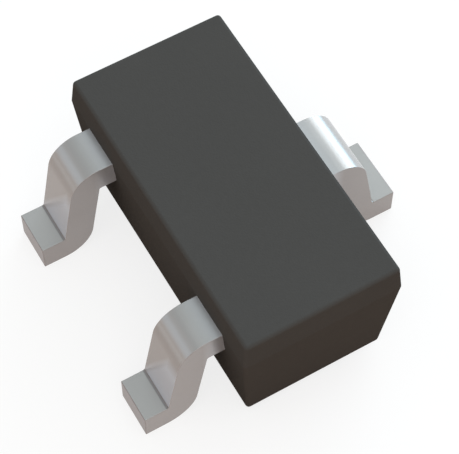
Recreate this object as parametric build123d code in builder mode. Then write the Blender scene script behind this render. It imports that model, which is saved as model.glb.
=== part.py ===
from build123d import *
import os
from math import atan2, cos, degrees, radians, tan

# A MOSFET in a moulded three-lead surface-mount package, in millimetres.
# z = 0 is the seating plane of the feet, and x = y = 0 is the middle of the package.
# The gate and source leads leave on the -X side, and the drain lead on the +X side.

# Moulded body
body_width = 0.80  # along X, at the parting line
body_length = 1.60  # along Y, at the parting line
upper_depth = 0.15  # parting line to top face
lower_depth = 0.55  # parting line to underside
standoff = 0.05  # underside above the seating plane
mould_draft = 5  # degrees, on every wall
body_edge = 0.018  # radius of every edge but the parting line

# Metal strip that the three leads are stamped from
strip_thickness = 0.15
inner_bend = 0.01  # radius on the hollow side of every bend
punch_corner = 0.03  # radius that the punch leaves in the strip's outline
strip_gap = 0.10  # narrowest slot punched between two leads

# Formed leads outside the body
lead_reach = 0.40  # toe tip beyond the parting line
foot_flat = 0.12  # top of the foot, from the leg to the toe tip
leg_lean = 10  # degrees from upright
lead_pitch = 1.00  # from the gate lead to the source lead
narrow_lead = 0.225  # width of the gate and source leads
wide_lead = 0.325  # width of the drain lead

# Bonding posts, the inner ends of the gate and source leads
post_end_gap = 0.02  # free end of a post short of the package's middle
post_length = 0.24
post_ear = 0.08  # how far a post stands out sideways, which locks the lead in the resin

# Die paddle, the inner end of the drain lead
paddle_downset = 0.15  # how far the paddle is pressed down below the leads
joggle_angle = 60  # degrees, slope of the step between lead and paddle
joggle_cover = 0.02  # straight strip inside the wall before the step begins
paddle_cover = 0.09  # resin between the paddle's free end and the wall

# Die and what joins it to the paddle
die_width = 0.36  # along X
die_length = 0.46  # along Y
die_thickness = 0.12
attach_thickness = 0.015
attach_rim = 0.012  # how far the bonding layer spreads past the die

# Electrodes on the die
metal_thickness = 0.004
metal_margin = 0.03  # bare border of the die
metal_gap = 0.015  # between the gate and source electrodes
metal_corner = 0.008
gate_pad_side = 0.09

# Bond wires
wire_diameter = 0.025
ball_diameter = 0.062
ball_height = 0.016
ball_edge = 0.004  # how far the ball's foot and crown draw in from its widest line
neck_height = 0.010  # cone between ball and wire
loop_height = 0.075  # wire's highest middle line above the electrode
loop_bend = 0.030
crest_share = 0.45  # part of the span over which the wire stays level
crest_bend = 0.10
stitch_length = 0.050
stitch_width = 0.042
stitch_tail = 0.005  # thickness of the wire's pressed end

# Heights that follow
parting_plane = standoff + lower_depth
package_height = parting_plane + upper_depth
strip_middle = parting_plane - strip_thickness / 2
paddle_top = parting_plane - paddle_downset
die_bottom = paddle_top + attach_thickness
die_top = die_bottom + die_thickness
metal_top = die_top + metal_thickness


def wall_at(height):
    """How far the long walls stand from the middle, at a height in the mould's lower half."""
    return body_width / 2 - (parting_plane - height) * tan(radians(mould_draft))


# Places along X that follow, as distances from the package's middle
bend_radius = inner_bend + strip_thickness / 2
toe_tip = body_width / 2 + lead_reach
leg_top_corner = toe_tip - foot_flat
joggle_setback = bend_radius * tan(radians(joggle_angle / 2))
joggle_high = wall_at(parting_plane - strip_thickness) - joggle_cover - joggle_setback
joggle_low = joggle_high - paddle_downset / tan(radians(joggle_angle))
paddle_root = joggle_low - joggle_setback
paddle_end = wall_at(paddle_top - strip_thickness) - paddle_cover
paddle_length = paddle_end + paddle_root
die_x = (paddle_root - paddle_end) / 2

# Places along Y that follow
lead_near_edge = (lead_pitch - narrow_lead) / 2
lead_far_edge = (lead_pitch + narrow_lead) / 2
paddle_width = 2 * (lead_near_edge - strip_gap)


def formed_line(side):
    """Middle line of a lead's shoulder, heel and toe, as (x, z), for the side +1 or -1."""
    half = strip_thickness / 2
    lean = radians(leg_lean)
    heel = leg_top_corner - half / cos(lean) + half * tan(lean)
    shoulder = heel - (strip_middle - half) * tan(lean)
    return [(side * shoulder, strip_middle), (side * heel, half), (side * toe_tip, half)]


# Gate lead: the bent strip seen from the end, cut to the outline that the punch leaves.
with BuildPart() as gate_lead:
    with BuildSketch(Plane.XZ.offset(-lead_pitch / 2)):
        with BuildLine():
            FilletPolyline((-post_end_gap, strip_middle), *formed_line(-1), radius=bend_radius)
        trace(line_width=strip_thickness)
    extrude(amount=narrow_lead + post_ear, both=True)
    with BuildSketch() as blank:
        with BuildLine():
            Polyline(
                (-toe_tip, lead_near_edge),
                (-post_end_gap, lead_near_edge),
                (-post_end_gap, lead_far_edge + post_ear),
                (-post_end_gap - post_length, lead_far_edge + post_ear),
                (-post_end_gap - post_length, lead_far_edge),
                (-toe_tip, lead_far_edge),
                close=True,
            )
        make_face()
        inner_corners = blank.vertices().filter_by(lambda v: v.X > -body_width / 2)
        fillet(inner_corners, radius=punch_corner)
    extrude(amount=package_height, both=True, mode=Mode.INTERSECT)

# Source lead: the gate lead's mirror image.
with BuildPart() as source_lead:
    mirror(gate_lead.part, about=Plane.XZ)

# Drain lead: one strip from the toe to the paddle that carries the die.
with BuildPart() as drain_lead:
    with BuildSketch(Plane.XZ):
        with BuildLine():
            FilletPolyline(
                (-paddle_end, paddle_top - strip_thickness / 2),
                (joggle_low, paddle_top - strip_thickness / 2),
                (joggle_high, strip_middle),
                *formed_line(1),
                radius=bend_radius,
            )
        trace(line_width=strip_thickness)
    extrude(amount=paddle_width, both=True)
    with BuildSketch() as blank:
        with Locations((die_x, 0)):
            Rectangle(paddle_length, paddle_width)
            Rectangle(toe_tip - die_x, wide_lead, align=(Align.MIN, Align.CENTER))
        inner_corners = blank.vertices().filter_by(lambda v: v.X < body_width / 2)
        fillet(inner_corners, radius=punch_corner)
    extrude(amount=package_height, both=True, mode=Mode.INTERSECT)

# Bonding layer: its rim slopes up to the foot of the die.
with BuildPart() as die_attach:
    with BuildSketch(Plane.XY.offset(paddle_top)):
        with Locations((die_x, 0)):
            Rectangle(die_width + 2 * attach_rim, die_length + 2 * attach_rim)
    extrude(amount=attach_thickness, taper=degrees(atan2(attach_rim, attach_thickness)))

# Silicon die, sawn square.
with BuildPart() as die:
    with BuildSketch(Plane.XY.offset(die_bottom)):
        with Locations((die_x, 0)):
            Rectangle(die_width, die_length)
    extrude(amount=die_thickness)

# Gate electrode: a square pad in the die's corner nearest the gate post.
active_x = die_x - die_width / 2 + metal_margin
active_y = die_length / 2 - metal_margin
with BuildPart() as gate_pad:
    with BuildSketch(Plane.XY.offset(die_top)):
        with Locations((active_x, active_y)):
            RectangleRounded(gate_pad_side, gate_pad_side, metal_corner, align=(Align.MIN, Align.MAX))
    extrude(amount=metal_thickness)

# Source electrode: the rest of the die's face, stepped round the gate pad.
with BuildPart() as source_metal:
    with BuildSketch(Plane.XY.offset(die_top)) as electrode:
        with Locations((die_x, 0)):
            Rectangle(die_width - 2 * metal_margin, die_length - 2 * metal_margin)
        with Locations((active_x, active_y)):
            step = gate_pad_side + metal_gap
            Rectangle(step, step, align=(Align.MIN, Align.MAX), mode=Mode.SUBTRACT)
        fillet(electrode.vertices(), radius=metal_corner)
    extrude(amount=metal_thickness)

# Bond wires: a ball pressed on the electrode, a loop over the die's edge, and a
# stitch where the wire is squeezed flat on the post and broken off.
post_x = -post_end_gap - post_length / 2
gate_bond = (active_x + gate_pad_side / 2, active_y - gate_pad_side / 2)
source_bond = (die_x, -active_y + gate_pad_side / 2)
wire_radius = wire_diameter / 2
bond_wires = []
for label, lead, (x, y), post_y in (
    ("gate_wire", gate_lead, gate_bond, lead_pitch / 2),
    ("source_wire", source_lead, source_bond, -lead_pitch / 2),
):
    run = Vector(post_x - x, post_y - y, 0)
    upright = Plane((x, y, metal_top), x_dir=run, z_dir=run.cross(Vector(0, 0, 1)))
    landing = run.length - stitch_length / 2
    post_level = parting_plane - metal_top
    with BuildPart() as bond_wire:
        with BuildLine(upright):
            loop = FilletPolyline(
                (0, ball_height),
                (0, loop_height),
                (run.length * crest_share, loop_height),
                (landing, post_level + wire_radius),
                radius=(loop_bend, crest_bend),
            )
        with BuildSketch(Plane(loop @ 0, z_dir=loop % 0)):
            Circle(wire_radius)
        sweep()
        with BuildSketch(upright):
            with BuildLine():
                Polyline(
                    (0, 0),
                    (ball_diameter / 2 - ball_edge, 0),
                    (ball_diameter / 2, ball_height / 2),
                    (ball_diameter / 2 - ball_edge, ball_height),
                    (wire_radius, ball_height + neck_height),
                    (0, ball_height + neck_height),
                    close=True,
                )
            make_face()
        revolve(axis=Axis((x, y, metal_top), (0, 0, 1)))
        with BuildSketch(Plane(loop @ 1, x_dir=upright.z_dir, z_dir=loop % 1)):
            Circle(wire_radius)
        tail = upright.from_local_coords((landing + stitch_length, post_level, 0))
        with BuildSketch(Plane(tail, x_dir=upright.z_dir, z_dir=run)):
            Ellipse(stitch_width / 2, stitch_tail)
        loft()
        add(lead.part, mode=Mode.SUBTRACT)
    bond_wire.part.label = label
    bond_wires.append(bond_wire.part)


def mould_half(depth, direction):
    """One half of the mould's hollow, from the parting line to its drafted, rounded end."""
    with BuildPart() as hollow:
        with BuildSketch(Plane.XY.offset(parting_plane)):
            Rectangle(body_width, body_length)
        extrude(amount=depth, dir=(0, 0, direction), taper=mould_draft)
        parting_line = hollow.edges().filter_by_position(Axis.Z, parting_plane, parting_plane)
        fillet(hollow.edges() - parting_line, radius=body_edge)
    return hollow.part


# Moulded body: resin that fills the mould round everything placed in it.
with BuildPart() as moulded_body:
    add(mould_half(upper_depth, 1))
    add(mould_half(lower_depth, -1))
    for piece in (gate_lead, source_lead, drain_lead, die_attach, die, gate_pad, source_metal):
        add(piece.part, mode=Mode.SUBTRACT)
    for wire in bond_wires:
        add(wire, mode=Mode.SUBTRACT)

gate_lead.part.label = "gate_lead"
source_lead.part.label = "source_lead"
drain_lead.part.label = "drain_lead"
die_attach.part.label = "die_attach"
die.part.label = "die"
gate_pad.part.label = "gate_pad"
source_metal.part.label = "source_metal"
moulded_body.part.label = "moulded_body"

os.makedirs("parts", exist_ok=True)
for builder in (moulded_body, gate_lead, source_lead, drain_lead, die_attach, die, gate_pad, source_metal):
    export_step(builder.part, f"parts/{builder.part.label}.step")
for wire in bond_wires:
    export_step(wire, f"parts/{wire.label}.step")
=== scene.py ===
from math import cos, pi, radians, tan

import bpy
from mathutils import Euler, Matrix, Vector


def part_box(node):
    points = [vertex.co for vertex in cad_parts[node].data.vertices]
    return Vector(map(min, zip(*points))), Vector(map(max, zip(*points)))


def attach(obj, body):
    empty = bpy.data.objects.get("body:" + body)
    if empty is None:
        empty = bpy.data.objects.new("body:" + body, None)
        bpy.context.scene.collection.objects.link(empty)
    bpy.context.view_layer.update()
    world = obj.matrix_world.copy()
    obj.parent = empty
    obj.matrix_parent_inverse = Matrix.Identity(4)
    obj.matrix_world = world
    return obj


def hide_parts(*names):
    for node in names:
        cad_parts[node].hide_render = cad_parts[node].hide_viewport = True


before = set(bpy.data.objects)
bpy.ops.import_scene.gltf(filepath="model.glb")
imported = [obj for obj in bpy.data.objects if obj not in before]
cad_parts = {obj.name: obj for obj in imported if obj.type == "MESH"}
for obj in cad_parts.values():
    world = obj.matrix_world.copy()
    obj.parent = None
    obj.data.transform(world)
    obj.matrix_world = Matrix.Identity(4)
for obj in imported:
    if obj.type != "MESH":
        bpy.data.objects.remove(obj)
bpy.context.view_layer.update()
bpy.ops.object.select_all(action="DESELECT")

# Drain lead. One strip of copper alloy, punched flat and pressed to shape: a foot, a leaning leg, a
# shoulder in the body's wall, and inside the resin a step down to the paddle that carries the die.
# Outside the resin it is plated with matt tin. Pieces are modelled in millimetres, then shrunk.
MILLIMETRE = 0.001
strip_thickness = 0.15
bend_radius = 0.01 + strip_thickness / 2  # of the strip's middle line
outer_bend_steps = 16
inner_bend_steps = 5
punch_corner = 0.03
punch_corner_steps = 4
punch_reach = 1  # above and below the seating plane
edge_round = 0.0025
edge_round_steps = 3
finish_line = 0.37  # just inside the resin, where plating and eased edges end
foot_flat = 0.12
leg_lean = radians(10)
strip_spare = 0.3  # how far the strip runs on past its punched outline
wide_lead = 0.325
mould_draft = radians(5)
joggle_cover = 0.02  # straight strip inside the wall before the step down to the paddle
joggle_slope = radians(60)
paddle_downset = 0.15
sharp_edge = radians(40)
smooth_edge = radians(35)  # edges flatter than this are shaded smooth
on_plane = 1e-6  # a point this near to a cutting plane lies on it


def node_corners(name):
    """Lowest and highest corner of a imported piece, in millimetres."""
    return [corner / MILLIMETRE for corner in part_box(name)]


drain_low, drain_high = node_corners("drain_lead")
toe_tip = drain_high.x
strip_middle = drain_high.z - strip_thickness / 2
resin_wall = node_corners("moulded_body")[1].x


def only(piece):
    """Makes this piece the one selected object."""
    bpy.ops.object.select_all(action="DESELECT")
    piece.select_set(True)
    bpy.context.view_layer.objects.active = piece


def mark(parts, wanted):
    """Selects those of a mesh's faces or edges for which wanted(part) is true."""
    for part in parts:
        part.select = wanted(part)


def clear_marks(mesh):
    """Deselects all of a mesh, in object mode."""
    for parts in (mesh.vertices, mesh.edges, mesh.polygons):
        mark(parts, lambda part: False)


def block(name, low, high):
    """A block between two corners, from which a piece is shaped."""
    low, high = Vector(low), Vector(high)
    bpy.ops.mesh.primitive_cube_add(size=1, location=(low + high) / 2)
    piece = bpy.context.object
    piece.name = name
    piece.scale = high - low
    bpy.ops.object.transform_apply(location=True, rotation=True, scale=True)
    return piece


def modify(piece, kind, **settings):
    """Adds a modifier to a piece and applies it."""
    only(piece)
    modifier = piece.modifiers.new(kind, kind)
    for name, value in settings.items():
        setattr(modifier, name, value)
    bpy.ops.object.modifier_apply(modifier=kind)


def merge_close(piece, distance):
    """Joins a mesh's points that lie closer than a distance, and drops faces without area."""
    only(piece)
    bpy.ops.object.mode_set(mode="EDIT")
    bpy.ops.mesh.select_all(action="SELECT")
    bpy.ops.mesh.remove_doubles(threshold=distance)
    bpy.ops.mesh.dissolve_degenerate(threshold=distance)
    bpy.ops.object.mode_set(mode="OBJECT")


def bent_strip(name, side, middle_y, inner_corners):
    """A wide strip, pushed from the toe tip along its course with a bend at each corner (x, z)."""
    half = strip_thickness / 2
    heel = toe_tip - foot_flat - half / cos(leg_lean) + half * tan(leg_lean)
    shoulder = heel - (strip_middle - half) * tan(leg_lean)
    corners = [(toe_tip, half), (heel, half), (shoulder, strip_middle), *inner_corners]
    course = [Vector((side * x, middle_y, z)) for x, z in corners]
    bpy.ops.mesh.primitive_plane_add(size=1, location=course[0], rotation=(0, radians(90), 0))
    strip = bpy.context.object
    strip.name = name
    strip.scale = (strip_thickness, 2 * strip_spare + wide_lead, 1)
    bpy.ops.object.transform_apply(location=True, rotation=True, scale=True)
    bpy.ops.object.mode_set(mode="EDIT")
    here = course[0]
    for corner, after in zip(course[1:], course[2:]):
        inward = (corner - here).normalized()
        outward = (after - corner).normalized()
        turn = inward.angle(outward)
        axis = inward.cross(outward).normalized()
        setback = inward * bend_radius * tan(turn / 2)
        centre = corner - setback + axis.cross(inward) * bend_radius
        steps = outer_bend_steps if abs(corner.x) > resin_wall else inner_bend_steps
        bpy.ops.mesh.extrude_region_move(TRANSFORM_OT_translate={"value": corner - setback - here})
        bpy.ops.mesh.spin(steps=steps, angle=-turn, center=centre, axis=axis)
        here = corner + outward * setback.length
    bpy.ops.mesh.extrude_region_move(TRANSFORM_OT_translate={"value": course[-1] - here})
    bpy.ops.mesh.select_all(action="SELECT")
    bpy.ops.mesh.normals_make_consistent(inside=False)
    bpy.ops.object.mode_set(mode="OBJECT")
    return strip


facing = 0.9  # least cosine between a face's normal and the way it is said to face
punch_weld = 0.0003  # points that punching leaves closer than this are one


def punch(strip, low, high, ears_from, ears):
    """Cuts a strip to its outline, from (x, y) to (x, y), with ears (way, width) on its inner end."""
    outline = block("outline", (*low, -punch_reach), (*high, punch_reach))
    bpy.ops.object.mode_set(mode="EDIT")
    bpy.ops.mesh.select_all(action="SELECT")
    bpy.ops.mesh.bisect(plane_co=(ears_from, 0, 0), plane_no=(1, 0, 0), threshold=on_plane)
    bpy.ops.mesh.select_mode(type="FACE")
    for way, width in ears:
        bpy.ops.object.mode_set(mode="OBJECT")
        clear_marks(outline.data)
        mark(
            outline.data.polygons,
            lambda face: face.normal.y * way > facing and abs(face.center.x) < abs(ears_from),
        )
        bpy.ops.object.mode_set(mode="EDIT")
        bpy.ops.mesh.extrude_region_move(TRANSFORM_OT_translate={"value": (0, way * width, 0)})
    bpy.ops.object.mode_set(mode="OBJECT")
    modify(outline, "BEVEL", width=punch_corner, segments=punch_corner_steps, angle_limit=sharp_edge)
    modify(strip, "BOOLEAN", operation="INTERSECT", object=outline, solver="EXACT")
    bpy.data.objects.remove(outline)
    merge_close(strip, punch_weld)


same_place = 1e-4  # a point this near to a line is at it
weld = 1e-5  # points closer than this are one


def ease_edges(strip):
    """Takes the sharpness off a strip's edges, from the toe tip to just inside the resin."""
    only(strip)
    bpy.ops.object.mode_set(mode="EDIT")
    bpy.ops.mesh.select_mode(type="EDGE")
    for line in (-finish_line, finish_line):
        bpy.ops.mesh.select_all(action="SELECT")
        bpy.ops.mesh.bisect(plane_co=(line, 0, 0), plane_no=(1, 0, 0), threshold=on_plane)
    bpy.ops.mesh.select_all(action="DESELECT")
    bpy.ops.mesh.edges_select_sharp(sharpness=sharp_edge)
    bpy.ops.object.mode_set(mode="OBJECT")
    points = strip.data.vertices
    mark(
        strip.data.edges,
        lambda edge: edge.select
        and min(abs(points[i].co.x) for i in edge.vertices) > finish_line - same_place,
    )
    bpy.ops.object.mode_set(mode="EDIT")
    bpy.ops.mesh.bevel(offset=edge_round, segments=edge_round_steps, clamp_overlap=False)
    bpy.ops.object.mode_set(mode="OBJECT")
    merge_close(strip, weld)


# How bare cutting leaves a face. This also sets the painted shade on cut faces.
trimmed_bareness_and_shade = 1  # of the toe's end
punched_bareness_and_shade = 0.45  # of the two sides
side_facing = 0.7  # the outer half of a rounded edge still counts as its side


def note_cuts_and_edge_distance(strip):
    """Keeps cut bareness and painted shade per face, and distance from the +Y edge for the painted
    reflection.
    """
    cut = strip.data.attributes.new("cut", "FLOAT", "FACE")
    for face, bareness_and_shade in zip(strip.data.polygons, cut.data):
        trimmed = abs(face.center.x) > toe_tip - edge_round
        punched = abs(face.normal.y) > side_facing
        bareness_and_shade.value = trimmed_bareness_and_shade if trimmed else punched_bareness_and_shade * punched
    points = strip.data.vertices
    edge = max(point.co.y for point in points if abs(point.co.x) > resin_wall)
    from_edge = strip.data.attributes.new("from_edge", "FLOAT", "POINT")
    for point, distance in zip(points, from_edge.data):
        distance.value = edge - point.co.y


def shade(piece):
    """Smooth over bends and rounded edges, and flat on flat faces."""
    only(piece)
    bpy.ops.object.shade_smooth_by_angle(angle=smooth_edge)
    modify(piece, "WEIGHTED_NORMAL", keep_sharp=True)


class Socket:
    """An output of a node. Sums on it add Math nodes."""

    def __init__(self, nodes, socket):
        self.nodes = nodes
        self.socket = socket

    def math(self, operation, *values):
        return self.nodes.math(operation, self, *values)

    def __add__(self, other):
        return self.math("ADD", other)

    def __sub__(self, other):
        return self.math("SUBTRACT", other)

    def __rsub__(self, other):
        return self.nodes.math("SUBTRACT", other, self)

    def __mul__(self, other):
        return self.math("MULTIPLY", other)

    def __lt__(self, other):
        return self.math("LESS_THAN", other)

    def __gt__(self, other):
        return self.math("GREATER_THAN", other)

    def __abs__(self):
        return self.math("ABSOLUTE")

    __radd__ = __add__
    __rmul__ = __mul__


class Nodes:
    """The shader nodes of a material or of the sky."""

    def __init__(self, tree):
        self.tree = tree

    def join(self, value, socket):
        if isinstance(value, Socket):
            self.tree.links.new(value.socket, socket)
        else:
            socket.default_value = value

    def node(self, kind, settings={}, values={}, output=0):
        """Adds a node, sets its settings and then its sockets, and gives the named output."""
        made = self.tree.nodes.new("ShaderNode" + kind)
        for name, value in settings.items():
            setattr(made, name, value)
        for name, value in values.items():
            self.join(value, made.inputs[name])
        return Socket(self, made.outputs[output])

    def math(self, operation, *values):
        return self.node("Math", {"operation": operation}, dict(enumerate(values)))

    def fade(self, value, start, end):
        """Goes from 0 to 1 as a value goes from start to end."""
        return self.node("MapRange", values={"Value": value, "From Min": start, "From Max": end})

    def blend(self, share, first, second):
        """Goes from the first colour to the second as share goes from 0 to 1."""
        return self.node("Mix", {"data_type": "RGBA"}, {0: share, 6: first, 7: second}, output=2)


class Finish(Nodes):
    """A material with one shader, whose pattern is read from the place on the piece."""

    def __init__(self, name, **constants):
        self.material = bpy.data.materials.new(name)
        self.material.use_nodes = True
        super().__init__(self.material.node_tree)
        self.shader = self.tree.nodes["Principled BSDF"]
        self.feed(**constants)
        self.place = self.node("TexCoord", output="Object")

    def feed(self, **values):
        """Sets or links the shader's sockets, by their names with _ for a space."""
        for name, value in values.items():
            self.join(value, self.shader.inputs[name.replace("_", " ")])

    def along(self, axis):
        """Distance from the package's middle along X or Y, or height along Z, in millimetres."""
        return self.node("SeparateXYZ", values={"Vector": self.place}, output=axis) * (1 / MILLIMETRE)

    def kept(self, name):
        """A number that the piece's mesh keeps under a name."""
        return self.node("Attribute", {"attribute_name": name}, output="Fac")

    def grain(self, size, detail=2, stretch=(1, 1, 1)):
        """Soft noise about 0.5, whose lumps are about this many millimetres across."""
        place = self.node("Mapping", values={"Vector": self.place, "Scale": stretch})
        scale = 1 / (size * MILLIMETRE)
        return self.node("TexNoise", values={"Vector": place, "Scale": scale, "Detail": detail})

    def relief(self, height, depth):
        """Bumps of this many millimetres, where height goes from 0 to 1."""
        values = {"Height": height, "Distance": depth * MILLIMETRE, "Strength": 1.0}
        return self.node("Bump", values=values)

    def put_on(self, piece):
        if not piece.data.materials:
            piece.data.materials.append(None)
        piece.material_slots[0].material = self.material


# Matt tin mirrors half of its light and scatters the rest, and the fronts of the gate and source
# legs scatter nearly all. Cut edges and leg fronts are painted darker, partly as wear and partly
# as painted shade, with a pale painted reflection of the foot slanting up from each heel. Beside
# the resin the tin has painted light, and the heel's crease has painted shade.
tin = (0.465, 0.46, 0.455, 1)
tin_shade = (0.435, 0.43, 0.425, 1)
# painted shade: darker tin on cut edges and leg fronts, partly wear and partly shade
worn_and_shaded_tin = (0.242, 0.200, 0.188, 1)
# painted reflection of the foot on the fronts of the gate and source legs
painted_reflection_tin = (0.60, 0.665, 0.75, 1)
# painted light: paler, bluer tin beside the resin wall
painted_light_tin = (0.82, 0.89, 1, 1)
# painted shade in the heel's crease
painted_crease_shade = (0.25, 0.24, 0.24, 1)
copper = (0.74, 0.42, 0.29, 1)
painted_light_reach = 0.50  # from the package's middle
painted_light_share = 0.34
painted_light_share_on_cut = 0.95
# The painted shade, painted reflection and scatter on a leg's front fade in and out between these
# heights.
leg_begins = (0.150, 0.156)  # heights between which the marks on a leg's front fade in
leg_ends = (0.545, 0.515)
front_painted_shade = 0.38
front_scatter = 0.85
reflection_top = 0.28  # above the foot
reflection_blur = 0.045
gate_slant = 1.52  # how steeply the sheen rises away from the lead's +Y edge
source_slant = 1.96
crease_reach = 0.012
crease_core = 0.007
plating = Finish("tinned_copper")
crystals = plating.grain(size=0.005)
clouds = plating.grain(size=0.12)
across = plating.along("X")
sideways = abs(across)
height = plating.along("Z")
inside = sideways < finish_line
cut = plating.kept("cut")
uncut = 1 - (cut > punched_bareness_and_shade / 2)
trimmed = cut > (punched_bareness_and_shade + trimmed_bareness_and_shade) / 2
# painted light on the tin beside the resin wall, fading out away from it
painted_wall_light = plating.fade(sideways, painted_light_reach, finish_line)
leg = plating.fade(height, *leg_begins) * plating.fade(height, *leg_ends)
leg_front = uncut * leg * (across < 0)
# The painted reflection rises at a slant from each lead's +Y edge, steeper on the source lead.
slant = source_slant + (gate_slant - source_slant) * (plating.along("Y") > 0)
reflection_edge = plating.math("MINIMUM", plating.kept("from_edge") * slant, reflection_top)
above_reflection = height - strip_thickness - reflection_edge
# painted reflection of the foot on the leg fronts, soft at its slanting top edge
painted_reflection = leg_front * plating.fade(above_reflection, reflection_blur, -reflection_blur)
# painted shade on cut edges and leg fronts, partly wear
wear_and_painted_shade = (cut + front_painted_shade * leg_front) * (1 - painted_wall_light)
# painted shade in the heel's crease, darkest at its core
corner = plating.node("CombineXYZ", values={"X": sideways, "Z": height})
crease = (toe_tip - foot_flat, 0, strip_thickness)
apart = plating.node("VectorMath", {"operation": "DISTANCE"}, {0: corner, 1: crease}, output="Value")
colour = plating.blend(clouds, tin_shade, tin)
colour = plating.blend(painted_wall_light * (painted_light_share + painted_light_share_on_cut * cut), colour, painted_light_tin)
colour = plating.blend(wear_and_painted_shade, colour, worn_and_shaded_tin)
colour = plating.blend(painted_reflection, colour, painted_reflection_tin)
colour = plating.blend(uncut * plating.fade(apart, crease_reach, crease_core), colour, painted_crease_shade)
plating.feed(
    Base_Color=plating.blend(inside, colour, copper),
    Metallic=(0.45 + 0.10 * clouds) * (1 - front_scatter * leg_front) + 0.5 * inside,
    Roughness=0.23 + 0.04 * crystals + 0.08 * trimmed,
    Normal=plating.relief(crystals, depth=0.00003),
)

wall_under_strip = resin_wall - strip_thickness * tan(mould_draft)
joggle_top = wall_under_strip - joggle_cover - bend_radius * tan(joggle_slope / 2)
joggle_foot = joggle_top - paddle_downset / tan(joggle_slope)
paddle_middle = strip_middle - paddle_downset
inner_corners = [
    (joggle_top, strip_middle),
    (joggle_foot, paddle_middle),
    (drain_low.x - strip_spare, paddle_middle),
]
paddle_root = joggle_foot - bend_radius * tan(joggle_slope / 2)
paddle_ear = drain_high.y - wide_lead / 2
drain_lead = bent_strip("drain_strip", 1, 0, inner_corners)
punch(
    drain_lead,
    (drain_low.x, -wide_lead / 2),
    (toe_tip + strip_spare, wide_lead / 2),
    paddle_root,
    [(-1, paddle_ear), (1, paddle_ear)],
)
ease_edges(drain_lead)
note_cuts_and_edge_distance(drain_lead)
plating.put_on(drain_lead)
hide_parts("drain_lead")

# Gate and source leads. Two narrower strips of the same sheet, one the mirror image of the other.
# Inside the resin each ends in a post for its bond wire, with an ear that locks it in place.
narrow_lead = 0.225
post_length = 0.24
gate_low, gate_high = node_corners("gate_lead")
post_end = gate_high.x
lead_far = gate_low.y + narrow_lead
leads = [drain_lead]
for name, way in (("gate", 1), ("source", -1)):
    near_y, far_y = sorted((way * gate_low.y, way * lead_far))
    lead = bent_strip(
        f"{name}_strip", -1, (near_y + far_y) / 2, [(-post_end - strip_spare, strip_middle)]
    )
    punch(
        lead,
        (-toe_tip - strip_spare, near_y),
        (post_end, far_y),
        post_end - post_length,
        [(way, gate_high.y - lead_far)],
    )
    ease_edges(lead)
    note_cuts_and_edge_distance(lead)
    plating.put_on(lead)
    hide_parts(f"{name}_lead")
    leads.append(lead)

# Bonding layer. Silver-filled adhesive, spread between the paddle and the die and squeezed out a
# little past its rim, then cured grey with a fine sparkle of flakes.
paste_grey = (0.42, 0.41, 0.39, 1)
flake_silver = (0.66, 0.65, 0.63, 1)
adhesive = Finish("silver_adhesive", Metallic=0.35)
flakes = adhesive.grain(size=0.006, detail=1)
adhesive.feed(
    Base_Color=adhesive.blend(flakes, paste_grey, flake_silver),
    Roughness=0.35 + 0.3 * flakes,
    Normal=adhesive.relief(flakes, depth=0.001),
)
adhesive.put_on(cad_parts["die_attach"])

# Die. A chip of single-crystal silicon, polished on its face and sawn out of the wafer, which leaves
# fine level lines round its four sides.
silicon_dark = (0.13, 0.14, 0.17, 1)
silicon_pale = (0.19, 0.20, 0.23, 1)
silicon = Finish("silicon", Metallic=0.6)
saw_lines = silicon.grain(size=0.004, stretch=(0.05, 0.05, 1))
silicon.feed(
    Base_Color=silicon.blend(silicon.grain(size=0.15), silicon_dark, silicon_pale),
    Roughness=0.12 + 0.3 * saw_lines,
    Normal=silicon.relief(saw_lines, depth=0.0005),
)
silicon.put_on(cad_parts["die"])

# Electrodes. Sputtered aluminium on the die's face, a small square for the gate and the rest for the
# source. Rows of cells under the source show through it as fine ribs.
cell_pitch = 0.006
aluminium = (0.84, 0.84, 0.85, 1)
aluminium_shade = (0.72, 0.72, 0.73, 1)
for name, ribs in (("gate_pad", 0), ("source_metal", 1)):
    metal = Finish(f"{name}_aluminium", Metallic=1.0)
    crystals = metal.grain(size=0.0025)
    across = metal.along("X")
    cells = metal.math("PINGPONG", across, cell_pitch / 2) * (2 / cell_pitch)
    metal.feed(
        Base_Color=metal.blend(crystals, aluminium_shade, aluminium),
        Roughness=0.22 + 0.15 * crystals,
        Normal=metal.relief(crystals * (1 - ribs) + cells * ribs, depth=0.0006),
    )
    metal.put_on(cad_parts[name])

# Bond wires. Drawn gold, melted to a ball and pressed on the electrode, then looped over to the
# post and squeezed flat there. Drawing leaves it bright, with faint scratches.
gold_deep = (0.86, 0.60, 0.22, 1)
gold_bright = (0.98, 0.76, 0.34, 1)
gold = Finish("bond_gold", Metallic=1.0)
scratches = gold.grain(size=0.003, stretch=(1, 0.2, 1))
gold.feed(
    Base_Color=gold.blend(scratches, gold_deep, gold_bright),
    Roughness=0.14 + 0.14 * scratches,
    Normal=gold.relief(scratches, depth=0.0003),
)
for name in ("gate_wire", "source_wire"):
    gold.put_on(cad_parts[name])

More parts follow.
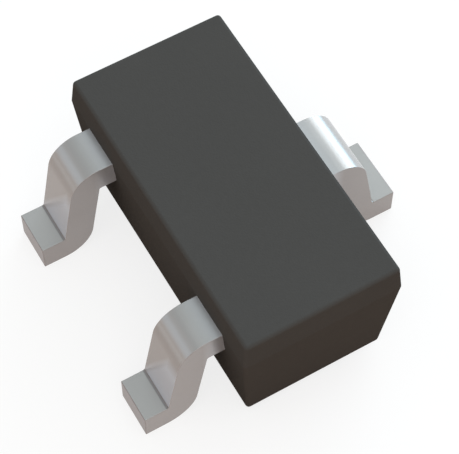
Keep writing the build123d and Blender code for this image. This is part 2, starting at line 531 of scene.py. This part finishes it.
# Moulded body. Black epoxy filled with silica grains, pressed round the strip and all that it
# carries. Its walls lean in from the parting line so that it leaves the mould, and its face has the
# fine matt grain of the mould's spark-cut steel.
body_edge = 0.018
body_edge_steps = 6
parting_plane = drain_high.z
body_low, body_high = node_corners("moulded_body")
body = block("resin_body", body_low, body_high)
bpy.ops.object.mode_set(mode="EDIT")
bpy.ops.mesh.select_all(action="SELECT")
bpy.ops.mesh.bisect(plane_co=(0, 0, parting_plane), plane_no=(0, 0, 1), threshold=on_plane)
bpy.ops.mesh.select_mode(type="FACE")
body_size = body_high - body_low
for way, depth in ((1, body_high.z - parting_plane), (-1, parting_plane - body_low.z)):
    lean_in = 2 * depth * tan(mould_draft)
    bpy.ops.object.mode_set(mode="OBJECT")
    clear_marks(body.data)
    mark(body.data.polygons, lambda face: face.normal.z * way > facing)
    bpy.ops.object.mode_set(mode="EDIT")
    bpy.ops.transform.resize(value=(1 - lean_in / body_size.x, 1 - lean_in / body_size.y, 1))
bpy.ops.object.mode_set(mode="OBJECT")
modify(body, "BEVEL", width=body_edge, segments=body_edge_steps, angle_limit=sharp_edge)


def on_parting_line(place):
    """Whether a place on the body is on the line where the two halves of the mould met."""
    on_outside = abs(place.x) + abs(place.y) > resin_wall
    return on_outside and abs(place.z - parting_plane) < same_place


# What the resin flowed round is taken out of it: the strips, and a copy of each other inner piece.
# All are rounded first, so that faces that meet lie exactly on each other.
kept_digits = 5
held = bpy.data.collections.new("held_in_resin")
for lead in leads:
    held.objects.link(lead)
copies = []
for name in ("die_attach", "die", "gate_pad", "source_metal", "gate_wire", "source_wire"):
    copy = bpy.data.objects.new(f"{name}_copy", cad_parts[name].data.copy())
    copy.data.transform(Matrix.Scale(1 / MILLIMETRE, 4))
    bpy.context.scene.collection.objects.link(copy)
    held.objects.link(copy)
    copies.append(copy)
for piece in leads + copies:
    for point in piece.data.vertices:
        point.co = [round(distance, kept_digits) for distance in point.co]
    merge_close(piece, weld)
modify(
    body,
    "BOOLEAN",
    operation="DIFFERENCE",
    operand_type="COLLECTION",
    collection=held,
    solver="EXACT",
)
merge_close(body, weld)
for copy in copies:
    bpy.data.objects.remove(copy)
bpy.data.collections.remove(held)

# The parting line stays a crisp edge in the smooth shading.
only(body)
bpy.ops.object.mode_set(mode="EDIT")
bpy.ops.mesh.select_mode(type="EDGE")
bpy.ops.object.mode_set(mode="OBJECT")
clear_marks(body.data)
points = body.data.vertices
mark(body.data.edges, lambda edge: all(on_parting_line(points[i].co) for i in edge.vertices))
bpy.ops.object.mode_set(mode="EDIT")
bpy.ops.mesh.mark_sharp()
bpy.ops.object.mode_set(mode="OBJECT")

resin_dark = (0.067, 0.067, 0.065, 1)
resin_pale = (0.078, 0.078, 0.076, 1)
resin = Finish("mould_resin", Specular_IOR_Level=0.0)
spark_grain = resin.grain(size=0.011, detail=3)
filler = resin.grain(size=0.03)
flow = resin.grain(size=0.5)
resin.feed(
    Base_Color=resin.blend(0.5 * filler + 0.5 * flow, resin_dark, resin_pale),
    Roughness=0.5 + 0.14 * spark_grain,
    Normal=resin.relief(spark_grain, depth=0.0008),
)
resin.put_on(body)
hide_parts("moulded_body")

for piece in leads + [body]:
    shade(piece)
    piece.scale = (MILLIMETRE, MILLIMETRE, MILLIMETRE)
    only(piece)
    bpy.ops.object.transform_apply(location=True, rotation=True, scale=True)
    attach(piece, "root")

# Floor. A sheet of plain pale paper, far wider than the part, that keeps its soft shadow. It is
# white to the camera and in the metal, and throws a warm glow up the walls.
floor_width = 0.4
paper_seen = (0.24, 0.24, 0.24, 1)
paper_glow = (0.66, 0.47, 0.36, 1)
black = (0, 0, 0, 1)
white = (1, 1, 1, 1)
bpy.ops.mesh.primitive_plane_add(size=floor_width)
floor = bpy.context.object
floor.name = "paper"
paper = Finish("white_paper", Roughness=0.9, Specular_IOR_Level=0.0, Emission_Strength=0.78)
camera_ray, glossy_ray, transmission_ray = (
    paper.node("LightPath", output=f"Is {kind} Ray") for kind in ("Camera", "Glossy", "Transmission")
)
seen = camera_ray + glossy_ray + transmission_ray
paper.feed(
    Base_Color=paper.blend(seen, paper_glow, paper_seen),
    Emission_Color=paper.blend(seen, black, white),
)
paper.put_on(floor)

# Light. A pale sky, clearest high at the back and warm near the ground, a soft key light over the
# camera's shoulder, a wide window low at the back right with its glow above it, and on the left a
# dim low strip, which only the metal mirrors.
world = bpy.data.worlds.new("studio")
bpy.context.scene.world = world
world.use_nodes = True
sky = Nodes(world.node_tree)
sky_axis = (0.171, 0.296, 0.94)
direction = sky.node("TexCoord", output="Generated")
rise = sky.node(
    "VectorMath", {"operation": "DOT_PRODUCT"}, {0: direction, 1: sky_axis}, output="Value"
)
sky_stops = [
    (0, (0.62, 0.48, 0.40, 1)),
    (0.50, (0.60, 0.57, 0.55, 1)),
    (0.83, (0.48, 0.53, 0.55, 1)),
    (0.98, (0.72, 0.80, 0.81, 1)),
]
below, shade_of_sky = sky_stops[0]
for stop, colour in sky_stops[1:]:
    shade_of_sky = sky.blend(sky.fade(rise, below, stop), shade_of_sky, colour)
    below = stop
sky.join(shade_of_sky, sky.tree.nodes["Background"].inputs["Color"])


lamp_distance = 0.03


def soft_light(name, azimuth, elevation, width, height, radiance, colour, lights_matt=True):
    """A lamp that faces the package, with its azimuth counted from +X towards +Y."""
    lamp = bpy.data.lights.new(name, "AREA")
    lamp.shape = "RECTANGLE"
    lamp.size = height
    lamp.size_y = width
    lamp.color = colour
    lamp.energy = radiance * width * height * pi
    place = bpy.data.objects.new(name, lamp)
    turn = Euler((0, radians(90 - elevation), radians(azimuth)))
    place.rotation_euler = turn
    place.location = turn.to_matrix() @ Vector((0, 0, lamp_distance))
    place.visible_diffuse = lights_matt
    bpy.context.scene.collection.objects.link(place)


daylight = (0.93, 0.98, 1)
blue_sky = (0.50, 0.78, 1)
haze = (0.97, 1, 0.98)
soft_light(
    "key", azimuth=-120, elevation=70, width=0.03, height=0.03, radiance=0.93, colour=(1, 1, 1)
)
soft_light(
    "window", azimuth=28, elevation=26, width=0.03, height=0.014, radiance=1.8, colour=daylight
)
soft_light(
    "window_low", azimuth=27, elevation=9, width=0.03, height=0.013, radiance=4.2, colour=blue_sky
)
soft_light(
    "window_glow", azimuth=34, elevation=34, width=0.03, height=0.03, radiance=0.5, colour=haze
)
soft_light(
    "low_strip",
    azimuth=150,
    elevation=23,
    width=0.04,
    height=0.013,
    radiance=0.52,
    colour=blue_sky,
    lights_matt=False,
)

# Camera. It stands where the photograph was taken from, over the corner beside the source lead,
# looking down at 60 degrees through a long lens.
camera_turn = radians(-30)
camera_height = radians(60)
camera_distance = 8.8486 * MILLIMETRE
aim_right = -0.0096 * MILLIMETRE
aim_up = 0.1335 * MILLIMETRE
lens = bpy.data.cameras.new("camera")
lens.lens = 145.33
lens.sensor_width = 36
lens.clip_start = 0.0005
lens.clip_end = 1
camera = bpy.data.objects.new("camera", lens)
camera.rotation_euler = (radians(90) - camera_height, 0, camera_turn)
camera.location = camera.rotation_euler.to_matrix() @ Vector((aim_right, aim_up, camera_distance))
bpy.context.scene.collection.objects.link(camera)
bpy.context.scene.camera = camera

bpy.context.scene.view_settings.view_transform = "Standard"
